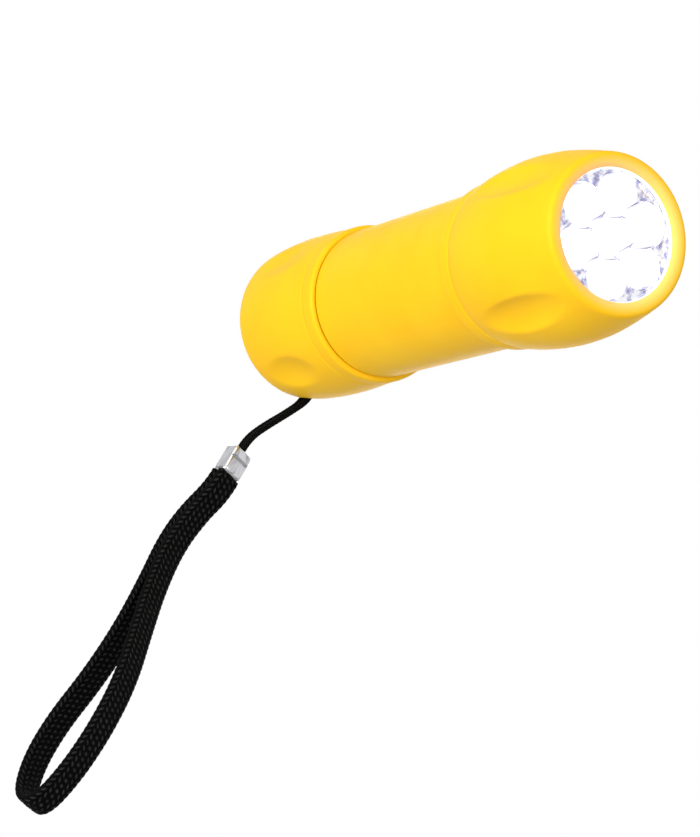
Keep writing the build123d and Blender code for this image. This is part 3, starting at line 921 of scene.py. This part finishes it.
    def braid_webbing(self, finish: bpy.types.Material) -> bpy.types.Object:
        """Braid the webbing's loop.

        Args:
            finish: The yarn's material.

        Returns:
            The loop.
        """
        step = 0.17 * MM
        path = self.line_along(self.webbing_route(), step)
        half_w, half_t, relief = self.webbing_w / 2, self.webbing_t / 2, 0.2
        sides = 64
        rings, heights = [], []
        for number, point in enumerate(path):
            ahead = path[min(number + 1, len(path) - 1)] - path[max(number - 1, 0)]
            outward = self.width.cross(ahead.normalized())
            along = number * step / MM
            ring = []
            for side in range(sides):
                angle = 2 * pi * side / sides
                flat_w = abs(cos(angle)) ** 0.62 * (1 if cos(angle) > 0 else -1)
                flat_t = abs(sin(angle)) ** 0.45 * (1 if sin(angle) > 0 else -1)
                face_shift = 0.5 * self.braid_pitch if sin(angle) < 0 else 0.0
                height = self.stitch(along + face_shift, flat_w * half_w * 0.98)
                across = flat_w * (half_w - relief * 0.8 * (1 - height) * flat_w * flat_w)
                thick = flat_t * (half_t - relief * (1 - height))
                ring.append(point + self.width * (across * MM) + outward * (thick * MM))
                heights.append(height)
            rings.append(ring)
        girth = 2 * (self.webbing_w + self.webbing_t) * MM
        piece = self.skin("webbing_loop", rings, heights, step, girth)
        shade(piece, 80)
        hand_over(piece, finish, Body.TAIL_CAP, ["strap_webbing"])
        return piece

    def braid_string(self, finish: bpy.types.Material) -> bpy.types.Object:
        """Braid the thin string.

        Args:
            finish: The yarn's material.

        Returns:
            The string.
        """
        step = 0.1 * MM
        path = self.line_along(self.string_route(), step)
        sides = 24
        radius = self.string_d / 2
        side_way = self.width
        rings, heights = [], []
        for number, point in enumerate(path):
            ahead = (path[min(number + 1, len(path) - 1)] - path[max(number - 1, 0)]).normalized()
            side_way = (side_way - ahead * side_way.dot(ahead)).normalized()
            other_way = ahead.cross(side_way)
            along = number * step / MM
            ring = []
            for side in range(sides):
                angle = 2 * pi * side / sides
                left = sin(4 * angle + 2 * pi * along / 1.7)
                right = sin(4 * angle - 2 * pi * along / 1.7)
                height = abs(left * right) ** 0.5
                heights.append(height)
                size = radius - 0.07 * (1 - height)
                ring.append(point + (side_way * cos(angle) + other_way * sin(angle)) * (size * MM))
            rings.append(ring)
        piece = self.skin("string_loop", rings, heights, step, 2 * pi * radius * MM)
        shade(piece, 80)
        hand_over(piece, finish, Body.TAIL_CAP, ["strap_string"])
        return piece

    def clip_cutter(
        self, across: float, down: float, size: tuple[float, float, float], lean: float
    ) -> bpy.types.Object:
        """A box in the strap's plane that cuts the clip.

        Args:
            across: Millimetres of its middle across the loop.
            down: Millimetres of its middle down from the clip's mouth.
            size: Its size across, down and along the width, in millimetres.
            lean: Degrees that it leans in the strap's plane.

        Returns:
            The box.
        """
        let_go()
        bpy.ops.mesh.primitive_cube_add(size=1)
        cutter = bpy.context.object
        turn = Matrix((self.across, self.down, self.width)).transposed().to_4x4()
        cutter.matrix_world = (
            Matrix.Translation(self.in_plane(across, down))
            @ turn
            @ Matrix.Rotation(radians(lean), 4, "Z")
            @ Matrix.Diagonal((size[0] * MM, size[1] * MM, size[2] * MM, 1))
        )
        settle(cutter)
        return cutter

    def press_clip(self, finish: bpy.types.Material) -> bpy.types.Object:
        """Press the metal clip round the webbing's ends, with a slanted mouth and two dents.

        Args:
            finish: The metal's material.

        Returns:
            The clip.
        """
        clip = self.clip_cutter(0, -self.clip_l / 2, (self.clip_t, self.clip_l, self.clip_w), 0)
        clip.name = "crimped_clip"
        apply_modifier(clip, "BEVEL", width=0.9 * MM, segments=5, limit_method="ANGLE")
        cuts = [
            (self.clip_t / 2 + 0.55, -self.clip_l / 2 - 0.6, (1.3, 1.3, 7), 45),
            (-self.clip_t / 2 - 0.55, -self.clip_l / 2 - 0.6, (1.3, 1.3, 7), 45),
            (0.5, 0.75, (7, 2.0, 7), 9),
        ]
        for across, down, size, lean in cuts:
            cut_away(clip, self.clip_cutter(across, down, size, lean))
        apply_modifier(
            clip, "BEVEL", width=0.16 * MM, segments=3, limit_method="ANGLE", angle_limit=radians(28)
        )
        shade(clip, 40)
        return hand_over(clip, finish, Body.TAIL_CAP, ["strap_ferrule"])


# ---------------------------------------------------------------- soft skins
@dataclass(frozen=True)
class Dimples:
    """Four long dimples, a quarter turn apart, each hollowed by a wide round cutter."""

    rear_x: float
    front_x: float
    deepest_x: float
    floor_r: float
    curve: float
    axis_r: float
    softness: float = 0.14

    def depth(self, x: float, angle: float, radius: float) -> float:
        """How deep the skin is pressed in at a point, in millimetres.

        Args:
            x: Place along the torch.
            angle: Angle round the torch, in radians.
            radius: Radius of the skin there, without dimples.

        Returns:
            The depth.
        """
        off_middle = (angle + pi / 4) % (pi / 2) - pi / 4
        floor = self.floor_r + self.curve * (x - self.deepest_x) ** 2
        reach = self.axis_r - floor
        under_root = reach**2 - (self.axis_r * sin(off_middle)) ** 2
        if under_root <= 0:
            return 0.0
        pressed = self.axis_r * cos(off_middle) - sqrt(under_root)
        gap = (radius - pressed) / self.softness
        if gap < -20:
            return 0.0
        return self.softness * log(1 + exp(gap)) if gap < 30 else radius - pressed

    def press(self, skin: bpy.types.Object) -> None:
        """Press the dimples into a turned skin.

        Args:
            skin: The skin.
        """
        deepest = 2.0
        group = skin.vertex_groups.new(name="dimples")
        for vertex in skin.data.vertices:
            x, y, z = vertex.co / MM
            radius = sqrt(y * y + z * z)
            if not self.rear_x < x < self.front_x or radius < 13.65:
                continue
            angle = asin(max(-1.0, min(1.0, z / radius)))
            depth = self.depth(x, angle, radius)
            group.add([vertex.index], min(1.0, depth / deepest), "REPLACE")
        apply_modifier(
            skin,
            "DISPLACE",
            strength=-deepest * MM,
            mid_level=0.0,
            direction="NORMAL",
            vertex_group="dimples",
        )
        skin.vertex_groups.clear()


def ring_edge(side: int) -> list[tuple[float, float]]:
    """Section of the raised ring beside a parting line.

    Args:
        side: 1 at the neck and -1 at the tail.

    Returns:
        The (x, radius) corners, from the skin's end to the swell.
    """
    corners = [
        (21.53, 13.62), (21.53, 14.1), (21.66, 14.42), (21.95, 14.66), (22.4, 14.75), (23.0, 14.76),
        (24.0, 14.76), (24.5, 14.75), (24.8, 14.66), (25.0, 14.6), (25.3, 14.78),
    ]
    return [(side * x, radius) for x, radius in corners]


@dataclass
class Grip:
    """The plain grip between the two screwed ends."""

    section: Section = (
        (-21.5, 12.9), (-21.5, 13.5), (-21.45, 13.75), (-21.2, 13.85), (-20.0, 13.85), (-7.0, 13.85),
        (7.0, 13.85), (20.0, 13.85), (21.2, 13.85), (21.45, 13.75), (21.5, 13.5), (21.5, 12.9),
        (21.5, 12.7), (21.2, 12.65), (-21.2, 12.65), (-21.5, 12.7),
    )

    def build(self, finish: bpy.types.Material) -> None:
        """Turn the sleeve.

        Args:
            finish: The soft skin's material.
        """
        sleeve = turned("grip_sleeve", self.section, 64, 2)
        shade(sleeve, 60)
        hand_over(sleeve, finish, Body.GRIP, ["grip_skin"])


@dataclass
class ThreadedTube:
    """The hard tube under the grip's sleeve, with a right-handed thread on each end."""

    rear_x: float = -33.2
    front_x: float = 31.0
    sleeve_half: float = 21.5
    middle_r: float = 12.62
    land_r: float = 12.5
    bore_r: float = 11.6
    pitch: float = 1.5
    thread_depth: float = 0.42
    run_out: float = 0.9
    station: float = 0.125
    slot_w: float = 3.0
    slot_r: float = 11.8

    def section(self) -> list[tuple[float, float]]:
        """Section of the tube, with close stations where the threads are."""
        corners = [(self.rear_x, self.bore_r), (self.rear_x, self.land_r - 0.35)]
        for start, end in ((self.rear_x + 0.3, -self.sleeve_half), (self.sleeve_half, self.front_x - 0.3)):
            count = round((end - start) / self.station)
            corners += [(start + (end - start) * n / count, self.land_r) for n in range(count + 1)]
            if end < 0:
                corners += [(end + 0.02, self.middle_r), (self.sleeve_half - 0.02, self.middle_r)]
        return [*corners, (self.front_x, self.land_r - 0.35), (self.front_x, self.bore_r)]

    def groove(self, x: float, angle: float) -> float:
        """How deep the thread is at a point, from 0 on its crest to 1 at its root.

        Args:
            x: Place along the torch.
            angle: Angle round the torch, in radians.

        Returns:
            The share of the depth.
        """
        phase = (x / self.pitch - angle / (2 * pi)) % 1.0
        flank = max(0.0, min(1.0, 1.7 * (1 - abs(2 * phase - 1)) - 0.35))
        from_sleeve = (abs(x) - self.sleeve_half - 0.6) / self.run_out
        from_end = ((self.front_x if x > 0 else -self.rear_x) - 0.3 - abs(x)) / self.run_out
        return flank * max(0.0, min(1.0, from_sleeve, from_end + 0.4))

    def build(self, finish: bpy.types.Material) -> None:
        """Turn the tube, cut its threads and the slot of the contact strip.

        Args:
            finish: The plastic's material.
        """
        tube = turned("threaded_tube", self.section(), 96)
        group = tube.vertex_groups.new(name="threads")
        for vertex in tube.data.vertices:
            x, y, z = vertex.co / MM
            if abs(x) > self.sleeve_half and sqrt(y * y + z * z) > self.land_r - 0.05:
                group.add([vertex.index], self.groove(x, atan2(z, y)), "REPLACE")
        apply_modifier(
            tube,
            "DISPLACE",
            strength=-self.thread_depth * MM,
            mid_level=0.0,
            direction="NORMAL",
            vertex_group="threads",
        )
        tube.vertex_groups.clear()
        let_go()
        bpy.ops.mesh.primitive_cube_add(size=1)
        cutter = bpy.context.object
        size = (self.front_x - self.rear_x + 2, self.slot_w, 2 * (self.slot_r - self.bore_r))
        cutter.matrix_world = Matrix.Translation(Vector((0, 0, self.bore_r)) * MM) @ Matrix.Diagonal(
            (size[0] * MM, size[1] * MM, size[2] * MM, 1)
        )
        settle(cutter)
        cut_away(tube, cutter)
        shade(tube, 45)
        hand_over(tube, finish, Body.GRIP, ["grip_tube"])


@dataclass
class Head:
    """The swelling head: skin, lens, reflector and lamps."""

    swell: Section = (
        (26.3, 15.12), (27.6, 15.39), (28.9, 15.62), (30.2, 15.79), (31.5, 15.93), (32.8, 16.05),
        (34.1, 16.15), (35.8, 16.23), (37.5, 16.26), (38.8, 16.23), (40.1, 16.16), (41.4, 16.07),
        (42.7, 15.95), (44.0, 15.78), (45.3, 15.57), (46.65, 15.33), (48.0, 15.07), (49.0, 14.86),
        (50.0, 14.64), (50.75, 14.46), (51.5, 14.28), (52.1, 14.14), (52.6, 14.02), (53.2, 13.88),
        (53.6, 13.72), (53.88, 13.42), (54.0, 13.0), (54.0, 12.5), (53.93, 12.05), (53.75, 11.62),
        (53.45, 11.3), (53.15, 11.2), (53.02, 11.3), (53.02, 11.88), (52.9, 12.2), (52.0, 12.62),
        (40.0, 14.0), (31.0, 14.0), (25.5, 13.62), (22.0, 13.6),
    )
    dimples: Dimples = Dimples(
        rear_x=27.0, front_x=53.3, deepest_x=49.48, floor_r=14.486, curve=0.00327, axis_r=22.0
    )
    lens_section: Section = (
        (53.0, 0), (53.0, 4), (53.0, 8), (53.0, 11.15), (53.0, 11.6), (52.9, 11.85), (52.7, 11.9),
        (52.1, 11.9), (51.9, 11.7), (51.9, 11.15), (51.9, 8), (51.9, 4), (51.9, 0),
    )
    lens_view_r: float = 11.2
    cup_pitch: float = 7.2
    edge_w: float = 0.07
    cup_section: Section = (
        (52.5, 0), (52.5, 3.95), (51.5, 3.95), (50.4, 3.82), (49.4, 3.69), (47.35, 3.4), (45.3, 3.07),
        (44.2, 2.88), (43.2, 2.7), (43.2, 3.0), (41.0, 3.0), (41.0, 0),
    )
    body_section: Section = (
        (51.5, 0), (51.5, 11.7), (51.4, 11.85), (51.2, 11.9), (50.3, 11.9), (50.3, 11.4),
        (42.1, 11.4), (42.1, 0),
    )
    lamp_section: Section = (
        (49.7, 0), (49.62, 0.6), (49.38, 1.22), (48.97, 1.77), (48.4, 2.2), (47.8, 2.43), (47.2, 2.5),
        (43.1, 2.5), (43.1, 2.9), (42.15, 2.9), (42.15, 0),
    )

    def cup_places(self) -> list[Vector]:
        """Places of the seven cups, in metres."""
        places = [Vector((0, 0, 0))]
        for sixth in range(6):
            angle = sixth * pi / 3
            places.append(Vector((0, self.cup_pitch * cos(angle), self.cup_pitch * sin(angle))) * MM)
        return places

    def build_skin(self, finish: bpy.types.Material) -> None:
        """Turn the head's skin and press its dimples.

        Args:
            finish: The soft skin's material, with a painted glow at the rim by the lens.
        """
        skin = turned("head_cover", [*ring_edge(1), *self.swell], 96, 2)
        self.dimples.press(skin)
        shade(skin, 60)
        hand_over(skin, finish, Body.HEAD, ["head_skin"])

    def build_lens(self, finish: bpy.types.Material, edge_finish: bpy.types.Material) -> None:
        """Turn the lens, with its edge frosted where the rim covers it.

        Args:
            finish: The clear plastic's material.
            edge_finish: The frosted edge's material, with its painted glow.
        """
        lens = turned("front_lens", self.lens_section, 96)
        lens.data.materials.append(finish)
        lens.data.materials.append(edge_finish)
        for face in lens.data.polygons:
            if Vector((face.center.y, face.center.z)).length > self.lens_view_r * MM:
                face.material_index = 1
        shade(lens, 30)
        hand_over(lens, finish, Body.HEAD, ["lens"])

    def build_reflector(self, finish: bpy.types.Material, edge_finish: bpy.types.Material) -> None:
        """Turn the reflector's body, cut its seven cups and break the edges between them.

        Args:
            finish: The bright metal's material.
            edge_finish: The duller material of the edges, tinted lavender-grey as a painted reflection.
        """
        body = turned("seven_cup_reflector", self.body_section, 128)
        cup = turned("cup", self.cup_section, 64)
        for number, place in enumerate(self.cup_places()):
            cut_away(body, copy_to(cup, f"cup_{number}", place, 0.83 * number + 0.4))
        bpy.data.objects.remove(cup)
        # The bevelled edges take the second material, a painted lavender-grey reflection.
        body.data.materials.append(finish)
        body.data.materials.append(edge_finish)
        apply_modifier(
            body,
            "BEVEL",
            width=self.edge_w * MM,
            segments=2,
            limit_method="ANGLE",
            angle_limit=radians(33),
            use_clamp_overlap=False,
            material=1,
        )
        shade(body, 25)
        hand_over(body, finish, Body.HEAD, ["reflector"])

    def build_lamps(self, finish: bpy.types.Material) -> None:
        """Turn one lamp and set seven.

        Args:
            finish: The lit lamps' material.
        """
        lamp = turned("lamp", self.lamp_section, 40)
        shade(lamp, 40)
        lamps = join([copy_to(lamp, f"lamp_{n}", place) for n, place in enumerate(self.cup_places())])
        lamps.name = "seven_lamps"
        bpy.data.objects.remove(lamp)
        hand_over(lamps, finish, Body.HEAD, ["lamps"])


@dataclass
class TailCap:
    """The tail: skin with its dimples and the notch for the string."""

    swell: Section = (
        (-26.5, 14.84), (-29.0, 15.0), (-33.0, 15.22), (-37.0, 15.31), (-41.0, 15.22), (-45.0, 14.98),
        (-48.0, 14.66), (-49.3, 14.38), (-50.0, 14.0), (-50.4, 13.5), (-50.5, 12.9), (-50.5, 11.0),
        (-50.5, 9.0), (-50.48, 8.6), (-50.35, 8.43), (-50.0, 8.4), (-49.4, 8.42), (-49.32, 8.6),
        (-49.32, 11.0), (-49.32, 13.3), (-49.0, 13.6), (-40.0, 13.62), (-30.0, 13.62), (-22.0, 13.6),
    )
    dimples: Dimples = Dimples(
        rear_x=-49.0, front_x=-26.5, deepest_x=-37.5, floor_r=14.2, curve=0.0142, axis_r=26.0
    )
    notch_w: float = 6.0
    notch_floor_r: float = 10.3
    notch_front_x: float = -45.9

    def cut_notch(self, skin: bpy.types.Object) -> None:
        """Cut the notch that the string comes out of.

        Args:
            skin: The tail's skin.
        """
        let_go()
        bpy.ops.mesh.primitive_cube_add(size=1)
        cutter = bpy.context.object
        low_x, reach = -51.5, 16.5 - self.notch_floor_r
        size = Matrix.Diagonal(((self.notch_front_x - low_x) * MM, self.notch_w * MM, reach * MM, 1))
        middle = Vector(((self.notch_front_x + low_x) / 2, 0, -self.notch_floor_r - reach / 2)) * MM
        turn = Matrix.Rotation(radians(45), 4, "X")
        cutter.matrix_world = turn @ Matrix.Translation(middle) @ size
        settle(cutter)
        apply_modifier(cutter, "BEVEL", width=0.8 * MM, segments=4)
        cut_away(skin, cutter)

    def build_skin(self, finish: bpy.types.Material) -> None:
        """Turn the tail's skin, press its dimples and cut its notch.

        Args:
            finish: The soft skin's material.
        """
        skin = turned("tail_cover", [*ring_edge(-1), *self.swell], 80, 2)
        self.dimples.press(skin)
        self.cut_notch(skin)
        shade(skin, 50)
        hand_over(skin, finish, Body.TAIL_CAP, ["tail_skin"])


# ---------------------------------------------------------------- inside
@dataclass(frozen=True)
class InnerParts:
    """The solids that keep their own shape, and the finish of each."""

    finishes: dict[str, Callable[[], bpy.types.Material]]
    nodes: dict[str, Sequence[str]]

    def dress(self) -> None:
        """Give every kept solid its material."""
        for key, names in self.nodes.items():
            material = self.finishes[key]()
            for name in names:
                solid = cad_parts[name]
                solid.data.materials.clear()
                solid.data.materials.append(material)
            LOG.info("%s on %s", material.name, ", ".join(names))


def inner_parts() -> InnerParts:
    """The kept solids, sorted by finish."""
    return InnerParts(
        finishes={
            "plastic": Moulded("black plastic", (0.012, 0.012, 0.013), (0.022, 0.022, 0.023)).make,
            "brass": Metal("brass", (0.78, 0.60, 0.28), (0.62, 0.45, 0.18)).make,
            "steel": Metal("nickel steel", (0.70, 0.70, 0.68), (0.50, 0.50, 0.50)).make,
            "sleeve": Moulded("cell sleeve", (0.02, 0.03, 0.06), (0.03, 0.045, 0.08), (0.2, 0.3), 0.00001).make,
            "board": Moulded("board lacquer", (0.008, 0.09, 0.03), (0.012, 0.13, 0.045), (0.2, 0.35)).make,
            "resistor": Moulded("resistor body", (0.01, 0.01, 0.012), (0.03, 0.03, 0.03)).make,
            "seal": Moulded("seal rubber", (0.008, 0.008, 0.008), (0.016, 0.016, 0.016), (0.5, 0.7)).make,
            "silicone": Moulded("milky silicone", (0.72, 0.73, 0.76), (0.82, 0.83, 0.85), (0.35, 0.5)).make,
            "button": Moulded("button rubber", (0.012, 0.012, 0.012), (0.02, 0.02, 0.02), (0.5, 0.65)).make,
        },
        nodes={
            "plastic": ("head_core", "tail_core", "cartridge_frame", "switch_housing", "plunger"),
            "brass": (
                "contact_strip", "front_terminal", "rear_terminal", "contact_sleeve", "retainer_ring",
                "switch_terminal",
            ),
            "steel": (
                "cell_contacts", "cell_springs", "front_spring", "tail_spring", "switch_spring",
                "board_screws", "lanyard_pin",
            ),
            "sleeve": ("cell_1", "cell_2", "cell_3"),
            "board": ("lamp_board",),
            "resistor": ("board_resistor",),
            "seal": ("neck_seal", "tail_seal"),
            "silicone": ("lens_seal",),
            "button": ("button_cap",),
        },
    )


def main() -> None:
    """Build the whole scene."""
    logging.basicConfig(level=logging.INFO, format="%(name)s: %(message)s")
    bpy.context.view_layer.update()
    studio = Studio()
    studio.place_camera()

    strap = Strap()
    strap.braid_string(BraidedYarn("string yarn", fibres=(1200, 3000, 1)).make())
    strap.braid_webbing(BraidedYarn("webbing yarn").make())
    strap.press_clip(Metal("crimped metal", (0.62, 0.62, 0.64), (0.34, 0.34, 0.36), (0.16, 0.32)).make())

    skin_finish = SoftSkin("yellow skin").make()
    Grip().build(skin_finish)
    ThreadedTube().build(Moulded("tube plastic", (0.012, 0.012, 0.013), (0.022, 0.022, 0.023)).make())
    head = Head()
    head.build_skin(SoftSkin("yellow skin with painted rim glow", painted_rim_glow=True).make())
    head.build_lens(ClearLens().make(), PaintedGlowEdge().make())
    head.build_reflector(
        # Painted reflection: the edges' metal is tinted lavender-grey.
        LitCups().make(), Metal("reflector edges with painted reflection", (0.52, 0.52, 0.68), (0.36, 0.36, 0.56)).make()
    )
    head.build_lamps(LitLamp().make())
    TailCap().build_skin(skin_finish)
    inner_parts().dress()

    studio.set_up()


if __name__ == "__main__":
    main()
